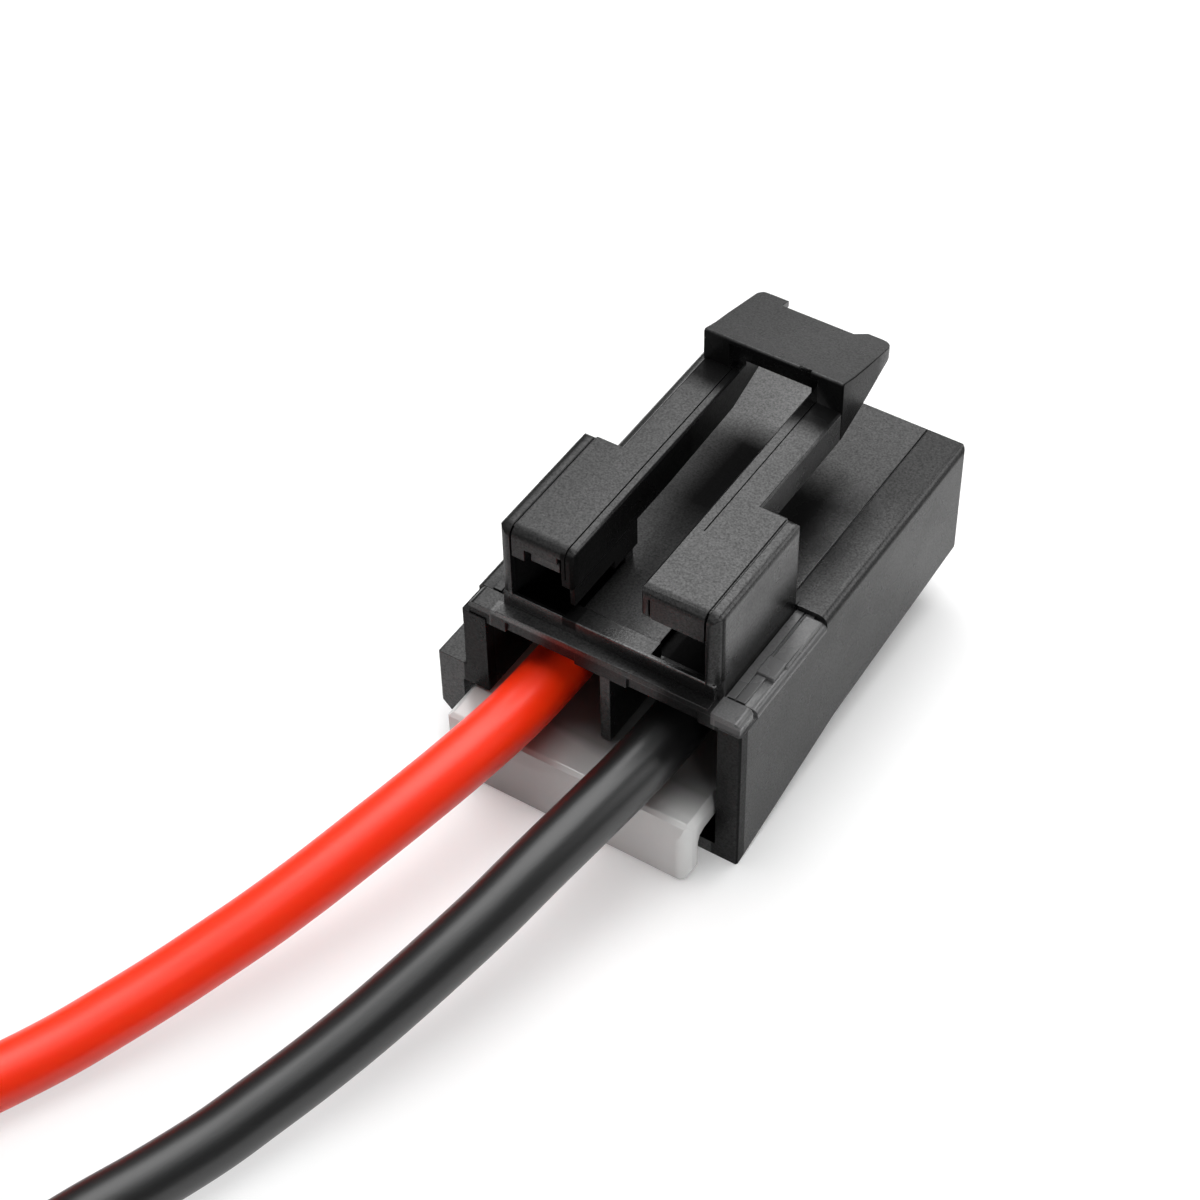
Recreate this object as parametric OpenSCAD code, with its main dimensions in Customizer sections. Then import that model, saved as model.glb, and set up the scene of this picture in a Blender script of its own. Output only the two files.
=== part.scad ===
// Two-way power pigtail connector: a moulded latching housing with its terminal retainer,
// two crimped receptacle terminals and two insulated leads with stripped ends.
// +Y is the mating direction, +Z is up, and the origin lies under the middle of the housing.

/* [Housing body] */
// Width across the two side walls
body_w = 21.1; // [20.6:0.1:24]
// Reach of the left wall beyond half that width
left_over = 0.2; // [0:0.05:0.3]
// Length from the rear end of the walls to the mating face
body_l = 30.2; // [29:0.2:36]
// Height of the deck above the resting surface
deck_h = 13.9; // [13.5:0.1:15]
// Thickness of the side walls
side_wall = 1.7; // [1.2:0.1:1.9]
// Thickness of the roof over the wire cavities
roof_t = 1.6; // [1.3:0.1:1.9]
// Thickness of the floor under the retainer
floor_t = 1.2; // [0.9:0.1:1.6]
// Thickness of the wall between the two cavities
divider_t = 0.8; // [0.6:0.1:1.2]
// Thickness of the front wall that the blades pass through
front_wall = 4.4; // [3.5:0.1:5]
// Radius of the long upper edges
deck_round = 0.7; // [0.3:0.1:1]
// Radius of the upright edges at the mating face
front_round = 0.4; // [0.2:0.05:0.6]
// Height of the side walls' lower edge at the bend of the underside
heel_rise = 2.8; // [1.6:0.1:3]
// Distance of that bend from the rear end
heel_l = 12.9; // [10:0.1:16]
// Height of the side walls' lower edge at the mating face
nose_rise = 4.2; // [3:0.1:4.6]
// Width of the flat keel that the housing rests on
keel_w = 12.8; // [10:0.2:15]
// Set-back of the keel from the mating face
keel_back = 1; // [0.5:0.1:2]
// Width of the step along the left upper edge
step_w = 0.75; // [0.4:0.05:1]
// Depth of that step below the deck
step_h = 2.4; // [1.6:0.1:3]
// Cut on small moulded edges
edge = 0.13; // [0.1:0.01:0.3]

/* [Rear lip and ledges] */
// Set-back of the lip behind the walls' rear end
lip_y = 0.1; // [0.05:0.05:0.4]
// Drop of the lip's top below the deck
lip_drop = 0.4; // [0.2:0.05:0.6]
// Depth of the hollows in the lip's rear face
lip_hollow = 0.2; // [0.1:0.05:0.5]
// Half width of the lip's middle block
lip_mid = 2; // [1.5:0.1:2.6]
// Distance from the centre to the lip's end blocks
lip_end = 7.3; // [6.6:0.1:7.6]
// Set-back of the wall between the cavities behind the lip
divider_back = 0.5; // [0.2:0.05:0.7]
// Length of the corner tabs
tab_l = 1.65; // [1.2:0.05:1.8]
// Set-back of the right tab from the right wall's face
tab_back = 0.12; // [0.05:0.01:0.3]
// Set-back of the left tab from the left wall's face
left_back = 0.55; // [0.3:0.05:0.7]
// Radius of the corner tabs' outer edges
tab_round = 0.45; // [0.2:0.05:0.6]
// Width of the slit in front of the corner tabs
tab_slit = 0.35; // [0.25:0.05:0.6]
// Length of the sunk ledge beside the latch frame
ledge_l = 10.9; // [10.7:0.1:12]
// Width of the ledge's outer step
ledge_step = 0.95; // [0.6:0.05:1.2]
// Radius of the ledge's outer edge
ledge_round = 0.4; // [0.2:0.05:0.5]
// Distance of the ledge's fine line from the latch frame
ledge_line = 0.85; // [0.6:0.05:1]
// Length of the raised strip on the ledge
ridge_l = 4.8; // [3:0.1:5.6]
// Length of the block where the mould was filled
gate_l = 1.7; // [1.2:0.1:2.4]
// Width and depth of the grooves beside the guard boxes' walls
groove = 0.14; // [0.1:0.02:0.2]
// Width of the fine seams along the arms, the ledges and the deck
seam = 0.08; // [0.06:0.01:0.12]

/* [Latch frame] */
// Width of the rear band that carries the latch frame
latch_w = 16; // [15.6:0.1:16.4]
// Distance of the latch frame from the walls' rear end
latch_y = 1; // [0.9:0.05:1.2]
// Height of the rear band above the deck
band_h = 1.2; // [0.8:0.1:1.6]
// Depth of the rear band along the body
band_l = 1.55; // [1.2:0.05:2]
// Length of the guard boxes
box_l = 10.2; // [9.6:0.1:10.4]
// Height of the guard boxes above the deck
box_h = 7.2; // [6.6:0.1:8]
// Thickness of the top plates and of the arms
plate_t = 2.4; // [2:0.1:2.6]
// Radius of the top plates' rear edge
plate_round = 0.7; // [0.4:0.1:0.9]
// Thickness of the guard boxes' walls
box_wall = 0.95; // [0.8:0.05:1.1]
// Reach of those walls beyond the rear band
wall_over = 0.22; // [0.1:0.02:0.3]
// Radius of those walls' outer upper edges
wall_round = 0.58; // [0.2:0.02:0.7]
// Radius of those walls' rear ends
wall_end = 0.8; // [0.4:0.05:0.9]
// Radius of those walls' front ends
wall_front = 0.5; // [0.2:0.05:0.7]
// Depth of the guard boxes' floor below the deck
pocket = 0.6; // [0.3:0.1:0.8]
// Set-back of the guard boxes' front wall
skirt_back = 2; // [1.5:0.1:3]
// Clear width between the two arms
arm_gap = 5; // [4.6:0.1:5.4]
// Width of the deeper strip along each arm's inner edge
strip_w = 0.85; // [0.6:0.05:1]
// Distance of the right strip's seam from the gap between the arms
right_seam = 0.76; // [0.5:0.02:0.85]
// Distance of the left strip's seam from that gap
left_seam = 0.54; // [0.4:0.02:0.85]
// Distance from the walls' rear end to where the right strip's seam starts
seam_y = 7.4; // [6:0.1:9]
// Reach of the left strip below the guard box's top plate
strip_drop = 0.8; // [0.5:0.1:1.2]
// Width of one arm
arm_w = 2.76; // [2.4:0.02:2.8]
// Reach of the arms below the guard boxes' top plates
arm_drop = 0.25; // [0.1:0.05:0.4]
// Distance of the crossbar from the walls' rear end
bar_y = 21.4; // [20:0.1:22]
// Rise of the crossbar above the arms
bar_rise = 2.45; // [1.6:0.05:2.8]
// Length of the band behind the crossbar's crease
crease_l = 1.6; // [1.2:0.1:2]
// Drop of the crease below the crossbar's rear edge
crease_drop = 0.5; // [0.2:0.05:0.7]
// Thickness of the crossbar's nose at its tip
tip_t = 0.55; // [0.4:0.05:0.8]
// Reach of the crossbar beyond the arms
bar_over = 0.05; // [0:0.05:0.4]
// Depth of the gap between the nubs on the crossbar's nose
nose_gap = 0.85; // [0.4:0.05:1]
// Depth of the hollow in the crossbar's rear face
bar_hollow = 0.8; // [0.5:0.1:1.2]
// Length of the crossbar from its rear face to its nose
bar_l = 7.35; // [6.5:0.05:8]

/* [Side rail] */
// Reach of the rail beyond the left wall
rail_w = 2.25; // [2:0.05:3]
// Height of the rail's underside
rail_z = 1.5; // [1.2:0.1:2]
// Height of the rail's section
rail_h = 5.9; // [5.4:0.1:6.4]
// Length of the rail
rail_l = 19; // [14:0.5:24]

/* [Terminal retainer] */
// Height of the tray's upper face
tray_top = 5.5; // [5.2:0.1:5.8]
// Thickness of the tray
tray_t = 1.7; // [1.3:0.1:2]
// Clearance between the tray's ribs and the receptacles
rib_gap = 0.3; // [0.1:0.05:0.6]
// Height of the ribs on the tray
rib_h = 1.5; // [1:0.1:1.8]
// Reach of the tray behind the walls' rear end
tray_out = 3.15; // [2.8:0.05:3.6]
// Thickness of the apron at the tray's rear
apron_t = 1.4; // [1:0.1:1.8]
// Length of the ear that sits in the left wall's notch
ear_l = 5.8; // [4:0.1:8]
// Clearance around the retainer
retainer_gap = 0.2; // [0.1:0.05:0.3]

/* [Leads and terminals] */
// Outside diameter of the insulation
wire_d = 4; // [3.6:0.1:4.2]
// Diameter of the stranded conductor
strand_d = 2.3; // [1.8:0.1:2.5]
// Distance between the two leads
wire_pitch = 9.2; // [8.8:0.1:9.4]
// Height of the leads' axes in the housing
wire_z = 8.5; // [8.4:0.1:8.8]
// Thickness of the terminals' sheet metal
sheet_t = 0.45; // [0.3:0.05:0.5]
// Width of the receptacle
socket_w = 7; // [6.6:0.1:7.2]
// Height of the receptacle
socket_h = 4.4; // [4:0.1:4.6]
// Length of the receptacle
socket_l = 11.4; // [10:0.1:11.8]
// Height of the slot that a blade enters
blade_slot = 1.6; // [1.2:0.1:2]
// Length of the crimp around the strands
crimp_l = 2.8; // [2.4:0.1:3.2]
// Length of the grip around the insulation
grip_l = 2.8; // [2.4:0.1:3.2]
// Distance between the grip and the crimp
neck_l = 1.5; // [1.2:0.1:2]
// Distance between the crimp and the receptacle
throat_l = 0.7; // [0.5:0.1:1]
// Clearance between metal and wire in the crimps
crimp_gap = 0.05; // [0.02:0.01:0.1]
// Clearance around the terminals in their cavities
terminal_gap = 0.2; // [0.1:0.05:0.3]
// Length of conductor left bare at the free ends
strip_l = 8; // [5:0.5:12]

/* [Hidden] */
eps = 0.01;
far = 40;

// Levels of the housing
half_w = body_w / 2;
left_half = half_w + left_over;
cavity_half = half_w - side_wall;
cavity_top = deck_h - roof_t;
lip_top = deck_h - lip_drop;
ledge_top = lip_top - 0.2;
tab_top = lip_top + 0.25;
tab_low = cavity_top + 0.4;
box_top = deck_h + box_h;
plate_low = box_top - plate_t;
arm_low = plate_low - arm_drop;
strip_low = plate_low - strip_drop;
foot_low = deck_h + band_h;
root_z = deck_h - 0.5;
bar_top = box_top + bar_rise;
nose_top = box_top + 0.6;

// Lines across the housing
frame_half = latch_w / 2;
gap_half = arm_gap / 2;
wall_out = frame_half + wall_over;
box_in = wall_out - box_wall;
strip_out = gap_half + strip_w;
right_split = gap_half + 0.62;
arm_out = gap_half + arm_w;
bar_half = arm_out + bar_over;
right_tab = half_w - tab_back;
left_tab = left_half - left_back;

// Lines along the housing, counted from the walls' rear end
band_front = latch_y + band_l;
box_front = latch_y + box_l;
skirt_front = box_front - skirt_back;
bar_back = bar_y + bar_hollow;
arm_front = bar_back + 0.5;
nose_y = bar_y + bar_l;
chamber_in = 3;
gate_rear = ledge_l - ridge_l - 1.4;
cavity_in = body_l - front_wall;
tab_front = lip_y + tab_l;

// The retainer and its seat
tray_low = tray_top - tray_t;
tray_right = cavity_half - retainer_gap;
seat_top = tray_top + retainer_gap;
seat_low = tray_low - retainer_gap;
wire_x = wire_pitch / 2;

// Stations of the terminals, counted from the walls' rear end
socket_front = cavity_in - terminal_gap;
socket_rear = socket_front - socket_l;
crimp_front = socket_rear - throat_l;
crimp_rear = crimp_front - crimp_l;
grip_front = crimp_rear - neck_l;
grip_rear = grip_front - grip_l;
lead_end = grip_front + 0.3;
strand_end = crimp_front + 0.5;
tray_in = socket_rear - rib_gap;
seat_in = tray_in + retainer_gap;

// Routes of the leads, from the terminals to the free ends
lead_start = lead_end - body_l / 2;
red_route = [
    [-wire_x, lead_start, wire_z], [-wire_x, -10, wire_z],
    [-4.7, -15.5, 8.5], [-5, -19, 8.4], [-5.8, -23.5, 8.1],
    [-6.8, -27.5, 7.6], [-7.9, -31, 6.9], [-9.1, -34.5, 6.1], [-10.5, -38, 5.2], [-12, -41.2, 4.3],
    [-13.5, -44.4, 3.5], [-15, -47.6, 2.9], [-16.6, -51, 2.4], [-18.5, -54.8, 2.15], [-20.7, -59.2, 2.1],
    [-22.6, -63.8, 2.1], [-23.9, -69, 2.1], [-24.6, -75, 2.1], [-24.8, -82, 2.1], [-24.6, -90, 2.1],
    [-24.2, -99, 2.1], [-23.8, -109, 2.1], [-23.5, -119, 2.1], [-23.3, -129, 2.1], [-23.2, -139.4, 2.1]];
black_route = [
    [wire_x, lead_start, wire_z], [wire_x, -10, wire_z],
    [4.5, -15.5, 8.5], [4.2, -19, 8.4], [3.6, -23.3, 8.1],
    [2.9, -27.4, 7.6], [2.2, -31, 6.9], [1.3, -34.6, 6.1], [0.3, -38, 5.2], [-0.8, -41.4, 4.3],
    [-2, -44.8, 3.5], [-3.2, -48.1, 2.9], [-4.4, -51.4, 2.4], [-6, -55.4, 2.15], [-7.9, -60, 2.1],
    [-9.5, -65, 2.1], [-10.7, -71, 2.1], [-11.3, -78, 2.1], [-11.4, -86, 2.1], [-11.2, -95, 2.1],
    [-10.9, -105, 2.1], [-10.6, -115, 2.1], [-10.4, -125, 2.1], [-10.3, -132, 2.1], [-10.2, -140.8, 2.1]];
lead_sides = 10;

// Plain box between two corners
module block(x0, x1, y0, y1, z0, z1) {
    translate([x0, y0, z0]) cube([x1 - x0, y1 - y0, z1 - z0]);
}

// Flat outline in Y and Z, drawn out across the housing
module across(x0, x1) {
    translate([x0, 0, 0]) rotate([90, 0, 90]) linear_extrude(x1 - x0) children();
}

// Flat outline in X and Z, drawn out along the housing
module along(y0, y1) {
    translate([0, y1, 0]) rotate([90, 0, 0]) linear_extrude(y1 - y0) children();
}

// Flat outline in X and Y, drawn upwards
module upright(z0, z1) {
    translate([0, 0, z0]) linear_extrude(z1 - z0) children();
}

// Rectangle with cut corners
function cut_corners(a0, a1, b0, b1, e) =
    [[a0 + e, b0], [a1 - e, b0], [a1, b0 + e], [a1, b1 - e],
     [a1 - e, b1], [a0 + e, b1], [a0, b1 - e], [a0, b0 + e]];

// Box with every edge cut
module soft_block(x0, x1, y0, y1, z0, z1, e = edge) {
    intersection() {
        across(x0, x1) polygon(cut_corners(y0, y1, z0, z1, e));
        along(y0, y1) polygon(cut_corners(x0, x1, z0, z1, e));
        upright(z0, z1) polygon(cut_corners(x0, x1, y0, y1, e));
    }
}

// Quarter arc in a flat outline, from angle a to a + 90
function quarter(centre, r, a) =
    [for (i = [0 : 5]) centre + r * [cos(a + 18 * i), sin(a + 18 * i)]];

// The same feature on the left and on the right
module both() {
    children();
    mirror([1, 0, 0]) children();
}

// Moves what is counted from the walls' rear end into the part's frame
module from_rear() {
    translate([0, -body_l / 2, 0]) children();
}

// Body without its hollows: long edges rounded above, side walls' lower edge rising to the nose
module body_block() {
    intersection() {
        along(0, body_l)
            polygon(concat([[-left_half, 0], [half_w, 0]],
                           quarter([half_w - deck_round, deck_h - deck_round], deck_round, 0),
                           quarter([deck_round - left_half, deck_h - deck_round], deck_round, 90)));
        across(-left_half, half_w)
            polygon([[0, 0], [edge, 0], [heel_l, heel_rise], [body_l - front_round, nose_rise],
                     [body_l, nose_rise + front_round], [body_l, deck_h - edge], [body_l - edge, deck_h],
                     [0, deck_h]]);
        upright(0, deck_h)
            polygon(concat([[-left_half, edge], [edge - left_half, 0], [half_w - edge, 0], [half_w, edge]],
                           quarter([half_w - front_round, body_l - front_round], front_round, 0),
                           quarter([front_round - left_half, body_l - front_round], front_round, 90)));
    }
    soft_block(-keel_w / 2, keel_w / 2, 0, body_l - keel_back, 0, tray_low);
}

// Tapered mouth of one blade slot in the mating face
module blade_mouth() {
    slot_half = socket_w / 2 - sheet_t;
    flare = 0.8;
    translate([wire_x, body_l, wire_z]) {
        block(-slot_half, slot_half, -front_wall - eps, eps, -blade_slot / 2, blade_slot / 2);
        intersection() {
            across(-far, far)
                polygon([[-flare, -blade_slot / 2], [flare, -blade_slot / 2 - 2 * flare],
                         [flare, blade_slot / 2 + 2 * flare], [-flare, blade_slot / 2]]);
            upright(-far, far)
                polygon([[-slot_half, -flare], [slot_half, -flare],
                         [slot_half + flare, flare], [-slot_half - flare, flare]]);
        }
    }
}

// Step along the left upper edge, with a rounded edge above it
module edge_step() {
    x = step_w - left_half;
    along(ledge_l, body_l + 1)
        polygon(concat([[-far, far], [x + deck_round, far]],
                       quarter([x + deck_round, deck_h - deck_round], deck_round, 90),
                       [[x, deck_h - step_h], [-far, deck_h - step_h]]));
}

// Sunk floor of one guard box
module guard_pocket(inner) {
    block(inner, box_in, band_front - eps, skirt_front - box_wall, deck_h - pocket, far);
}

// Hollows of the body: rear chamber, retainer seat, wire cavities, blade slots, guard boxes' floors
module body_hollows() {
    ear_recess = half_w + 0.4;
    block(-cavity_half, cavity_half, -1, chamber_in, floor_t, seat_low + eps);
    block(-cavity_half, cavity_half, -1, seat_in, seat_low, seat_top);
    block(-ear_recess, -cavity_half + eps, -1, ear_l + retainer_gap, floor_t, seat_top);
    both() {
        block(divider_t / 2, cavity_half, -1, cavity_in, seat_top - eps, cavity_top);
        blade_mouth();
    }
    guard_pocket(gap_half);
    mirror([1, 0, 0]) guard_pocket(strip_out);
    block(-divider_t, divider_t, -1, lip_y + divider_back, floor_t, cavity_top);
    block(-cavity_half - eps, cavity_half + eps, -1, lip_y, cavity_top - eps, far);
}

// Cuts along the top of one side: sunk ledge, corner tab, slit and two fine lines
module side_cuts(wall_x, tab_x) {
    step_x = half_w - ledge_step;
    slit_x = frame_half + 0.35;
    ledge_x = frame_half + ledge_line;
    deck_x = box_in + 0.25;
    block(frame_half, far, -1, ledge_l, lip_top, far);
    along(tab_front, ledge_l)
        polygon(concat([[step_x, far], [far, far], [far, ledge_top - ledge_round]],
                       quarter([wall_x - ledge_round, ledge_top - ledge_round], ledge_round, 0),
                       [[step_x, ledge_top]]));
    block(slit_x, far, tab_front, tab_front + tab_slit, tab_low, far);
    block(tab_x, far, -1, tab_front + eps, tab_low, far);
    block(cavity_half, far, -1, lip_y, tab_low, far);
    block(ledge_x, ledge_x + seam, tab_front, ledge_l, lip_top - groove, far);
    block(deck_x, deck_x + seam, box_front, body_l + 1, deck_h - groove, far);
}

// Strip that stands on one ledge, with the block where the mould was filled
module ledge_strip() {
    inner = frame_half + ledge_line;
    outer = half_w - 0.25;
    root = ledge_top - 0.5;
    soft_block(inner + groove, outer, ledge_l - ridge_l, ledge_l - groove, root, lip_top + 0.1);
    soft_block(inner, outer - groove, gate_rear, gate_rear + gate_l, root, lip_top + 0.2, edge / 2);
}

// Raised corner tab over the end of one side wall, rounded to the outside
module corner_tab(tab_x) {
    intersection() {
        along(lip_y, tab_front)
            polygon(concat([[frame_half, tab_low], [tab_x, tab_low]],
                           quarter([tab_x - tab_round, tab_top - tab_round], tab_round, 0),
                           [[frame_half, tab_top]]));
        upright(tab_low, tab_top)
            polygon([[frame_half, lip_y], [tab_x - edge, lip_y], [tab_x, lip_y + edge],
                     [tab_x, tab_front - edge], [tab_x - edge, tab_front], [frame_half, tab_front]]);
    }
}

// Hollows in the lip's rear face
module lip_hollows() {
    lip_roof = 0.3;
    both()
        block(lip_mid, lip_end, -1, lip_y + lip_hollow, cavity_top - eps, lip_top - lip_roof);
}

// Outer wall of one guard box, its outer edges and its ends rounded
module guard_wall() {
    r = min(wall_round, box_wall - edge);
    rear = min(wall_end, box_wall - edge / 2);
    front = min(wall_front, box_wall - edge / 2);
    intersection() {
        across(box_in, wall_out)
            polygon(concat([[latch_y, root_z], [box_front, root_z]],
                           quarter([box_front - front, box_top - front], front, 0),
                           quarter([latch_y + rear, box_top - rear], rear, 90)));
        along(latch_y, box_front)
            polygon(concat([[box_in, root_z], [wall_out, root_z]],
                           quarter([wall_out - r, box_top - r], r, 0),
                           [[box_in + edge / 2, box_top], [box_in, box_top - edge / 2]]));
        upright(root_z, box_top)
            polygon(concat([[box_in, latch_y]],
                           quarter([wall_out - rear, latch_y + rear], rear, 270),
                           quarter([wall_out - front, box_front - front], front, 0),
                           [[box_in, box_front]]));
    }
}

// One guard box of the latch frame, open to the rear
module guard_box() {
    guard_wall();
    across(strip_out - eps, box_in - groove)
        polygon(concat([[latch_y, plate_low], [box_front, plate_low], [box_front, box_top - edge],
                        [box_front - edge, box_top]],
                       quarter([latch_y + plate_round, box_top - plate_round], plate_round, 90)));
    block(strip_out, box_in + eps, latch_y + 0.5, box_front - groove, plate_low, box_top - groove);
    block(strip_out - edge, box_in + eps, skirt_front - box_wall, skirt_front, root_z, plate_low + eps);
}

// Skirt that hangs under the left strip, deeper at its front end
module left_skirt() {
    skirt_in = gap_half + 0.35;
    skirt_out = strip_out - 0.1;
    skirt_rear = latch_y + 0.7;
    foot_l = 2.8;
    skirt_foot = skirt_front - foot_l;
    skirt_top = strip_low + edge;
    skirt_low = foot_low + 0.7;
    across(-skirt_out, -skirt_in)
        polygon([[skirt_rear, skirt_low], [skirt_foot, skirt_low], [skirt_foot, foot_low],
                 [skirt_front, foot_low], [skirt_front, skirt_top], [skirt_rear, skirt_top]]);
}

// Rear band that ties both guard boxes to the body, thinned to a sill inside the boxes
module rear_band() {
    sill = 0.35;
    floor_z = deck_h - pocket;
    difference() {
        soft_block(-frame_half, frame_half, latch_y, band_front, floor_z - eps, foot_low, edge / 2);
        block(right_split, box_in, latch_y + sill, band_front + 1, floor_z, far);
        block(-box_in, -strip_out, latch_y + sill, band_front + 1, floor_z, far);
    }
}

// One spring arm from its guard box to the crossbar, with the strip along its inner edge
module spring_arm(rear_low) {
    low = min(rear_low, arm_low);
    arm_rear = box_front - 1.2;
    strip_corner = 0.25;
    along(arm_rear, arm_front)
        polygon([[strip_out - eps, arm_low], [arm_out - edge, arm_low], [arm_out, arm_low + edge],
                 [arm_out, box_top - edge], [arm_out - edge, box_top], [strip_out - eps, box_top]]);
    intersection() {
        across(gap_half, strip_out)
            polygon(concat([[latch_y, rear_low + edge], [latch_y + edge, rear_low],
                            [skirt_front, rear_low], [bar_y, arm_low], [arm_front, arm_low],
                            [arm_front, box_top]],
                           quarter([latch_y + plate_round, box_top - plate_round], plate_round, 90)));
        along(latch_y, arm_front)
            polygon([[gap_half, low + edge], [gap_half + edge, low], [strip_out, low],
                     [strip_out, box_top], [gap_half + edge, box_top], [gap_half, box_top - edge]]);
        upright(low, box_top)
            polygon([[gap_half, latch_y + strip_corner], [gap_half + strip_corner, latch_y],
                     [strip_out, latch_y], [strip_out, arm_front], [gap_half, arm_front]]);
    }
}

// Fine seams beside the two strips; the left one runs over the top plate's rear edge
module strip_seams() {
    right = gap_half + right_seam;
    left = gap_half + left_seam;
    split_depth = 0.3;
    block(right_split, right_split + seam, latch_y - 1, latch_y + split_depth,
          plate_low - 1, box_top - plate_round);
    block(right, right + seam, seam_y, bar_y, box_top - groove, far);
    across(-left - seam, -left)
        polygon(concat([[latch_y - 1, far], [bar_y, far], [bar_y, box_top - groove]],
                       quarter([latch_y + plate_round, box_top - plate_round], plate_round - groove, 90),
                       [[latch_y + groove, plate_low], [latch_y - 1, plate_low]]));
}

// Crossbar: a band falling to a crease, a sloping nose, a hollow rear face and the window under it
module crossbar() {
    brow = bar_top - 0.45;
    window_l = 3;
    window_top = box_top + 0.25;
    taper = bar_y + window_l;
    tip_y = nose_y + 0.05;
    right_tip = nose_y - 0.18;
    notch_y = nose_y - nose_gap;
    tip_half = bar_half - 0.1;
    tip_cut = 0.1;
    left_nub = gap_half + 0.5;
    right_nub = gap_half + 0.7;
    corner = 0.8;
    nick_x = 1.95;
    nick_w = 0.85;
    nick_l = 0.25;
    difference() {
        intersection() {
            across(-bar_half, bar_half)
                polygon([[bar_y, arm_low], [tip_y, arm_low], [tip_y, nose_top - tip_cut],
                         [nose_y - tip_cut, nose_top], [bar_y + crease_l, bar_top - crease_drop],
                         [bar_y + edge, bar_top], [bar_y, bar_top - edge]]);
            upright(0, far)
                polygon(concat([[-bar_half, bar_y], [bar_half, bar_y], [bar_half, taper]],
                               quarter([tip_half - corner, right_tip - corner], corner, 0),
                               [[right_nub, right_tip], [gap_half, notch_y],
                                [-left_nub, notch_y], [-left_nub, tip_y]],
                               quarter([corner - tip_half, tip_y - corner], corner, 90),
                               [[-bar_half, taper]]));
        }
        block(-strip_out, strip_out, bar_y - 1, bar_back, arm_low - 1, brow);
        block(-gap_half, gap_half, bar_y - 1, taper, arm_low - 1, window_top);
        block(nick_x, nick_x + nick_w, bar_y - 1, bar_y + nick_l, brow - 1, far);
    }
}

// Sloping underside of the crossbar and of the arms' ends
module nose_slope() {
    slope_rear = bar_y - 0.6;
    slope_front = nose_y + 1;
    tip_low = nose_top - tip_t;
    rise = (tip_low - arm_low) / (nose_y - slope_rear);
    below = plate_low - far;
    across(-far, far)
        polygon([[slope_rear, arm_low], [slope_front, arm_low + rise * (slope_front - slope_rear)],
                 [slope_front, below], [slope_rear, below]]);
}

// Rail on the left wall, with a cut lower corner
module side_rail() {
    rail_x = -left_half - rail_w;
    root = 0.3 - left_half;
    top = rail_z + rail_h;
    corner = 1.1;
    lead_in = 1;
    intersection() {
        along(0, rail_l)
            polygon([[rail_x + corner, rail_z], [root, rail_z], [root, top],
                     [rail_x + edge, top], [rail_x, top - edge], [rail_x, rail_z + corner]]);
        upright(0, far)
            polygon([[rail_x + edge, 0], [root, 0], [root, rail_l], [rail_x + lead_in, rail_l],
                     [rail_x, rail_l - lead_in], [rail_x, edge]]);
    }
}

// The recess in the left guard box's rear face, with a slot at either end
module rear_panel() {
    panel_x = 1.1 - box_in;
    panel_top = plate_low + 1;
    panel_depth = 0.3;
    slot_w = 0.3;
    left_slot = 0.8;
    right_slot = 0.6;
    slot_rise = 0.6;
    inner = -strip_out - eps;
    block(panel_x, inner, latch_y - 1, latch_y + panel_depth, plate_low - 1, panel_top);
    block(panel_x, panel_x + slot_w, latch_y - 1, latch_y + left_slot, plate_low - 1, panel_top);
    block(inner - slot_w, inner, latch_y - 1, latch_y + right_slot, plate_low - 1, panel_top + slot_rise);
}

// Moulded housing: body, latch frame, crossbar and rail in one piece
module housing() {
    color([0.1, 0.1, 0.11])
        from_rear() {
            difference() {
                union() {
                    body_block();
                    side_rail();
                }
                body_hollows();
                edge_step();
                side_cuts(half_w, right_tab);
                mirror([1, 0, 0]) side_cuts(left_half, left_tab);
                lip_hollows();
            }
            corner_tab(right_tab);
            mirror([1, 0, 0]) corner_tab(left_tab);
            both() ledge_strip();
            rear_band();
            difference() {
                union() {
                    both() guard_box();
                    left_skirt();
                    spring_arm(plate_low);
                    mirror([1, 0, 0]) spring_arm(strip_low);
                    crossbar();
                }
                rear_panel();
                strip_seams();
                nose_slope();
            }
        }
}

// Grey tray that slides in under the terminals and locks them, with its apron and ear
module terminal_retainer() {
    ear_x = retainer_gap - half_w;
    tray_left = retainer_gap - cavity_half;
    bevel = 0.35;
    heel = apron_t - tray_out;
    corner = 1;
    ear_corner = 0.6;
    rib_out = 2.5;
    rib_half = 0.6;
    rib_t = 0.8;
    color([0.72, 0.71, 0.7])
        from_rear() {
            intersection() {
                across(ear_x, tray_right)
                    polygon([[-tray_out, 0.2], [0.2 - tray_out, 0], [heel, 0], [heel, tray_low - 0.9],
                             [heel + 0.25, tray_low - 0.25], [heel + 0.9, tray_low], [tray_in, tray_low],
                             [tray_in, tray_top - bevel], [tray_in - bevel, tray_top],
                             [0.5 - tray_out, tray_top], [0.2 - tray_out, tray_top - 0.25],
                             [-tray_out, tray_top - 1.4]]);
                along(-tray_out - 1, tray_in + 1)
                    polygon([[ear_x, 0.4], [ear_x + 0.4, 0], [tray_right - 0.9, 0],
                             [tray_right - 0.3, 0.25], [tray_right, 0.9], [tray_right, tray_top - 2 * bevel],
                             [tray_right - bevel, tray_top], [ear_x + bevel, tray_top],
                             [ear_x, tray_top - bevel]]);
                upright(-1, tray_top + 1)
                    polygon(concat(quarter([tray_right - corner, corner - tray_out], corner, 270),
                                   [[tray_right, tray_in], [tray_left, tray_in], [tray_left, ear_l],
                                    [ear_x, ear_l]],
                                   quarter([ear_x + ear_corner, ear_corner - tray_out], ear_corner, 180)));
            }
            both()
                for (side = [-1, 1])
                    translate([wire_x + side * rib_out, tray_in, tray_top])
                        soft_block(-rib_half, rib_half, -rib_t, 0, -2 * bevel, rib_h);
        }
}

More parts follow.
